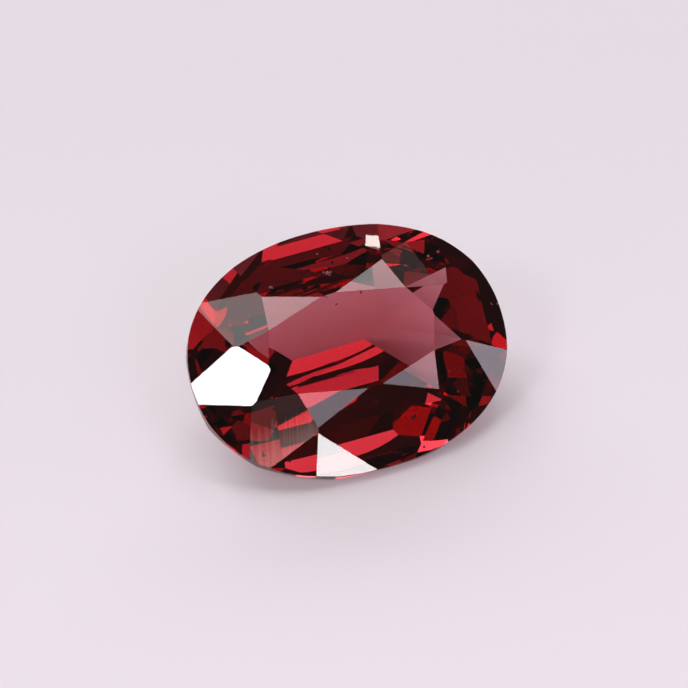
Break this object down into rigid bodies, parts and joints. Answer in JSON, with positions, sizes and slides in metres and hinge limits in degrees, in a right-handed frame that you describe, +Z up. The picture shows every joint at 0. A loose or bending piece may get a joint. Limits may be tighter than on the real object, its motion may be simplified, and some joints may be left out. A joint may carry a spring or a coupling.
{
  "type": "cut gemstone",
  "caption": "Loose oval red spinel, brilliant-cut crown over a stepped pavilion, lying on a long pavilion facet with its table leaning forward.",
  "frame": {"origin": "centre of the stone's bounding box, at the height of the surface it lies on", "axes": "+X along the stone's length as seen from above, +Z up from the facet it lies on, the table leaning towards -Y"},
  "size_m": [0.0082, 0.0054, 0.0037],
  "materials": {
    "spinel_red": "polished"
  },
  "bodies": {
    "root": {"spinel": "spinel_red"}
  },
  "joints": []
}
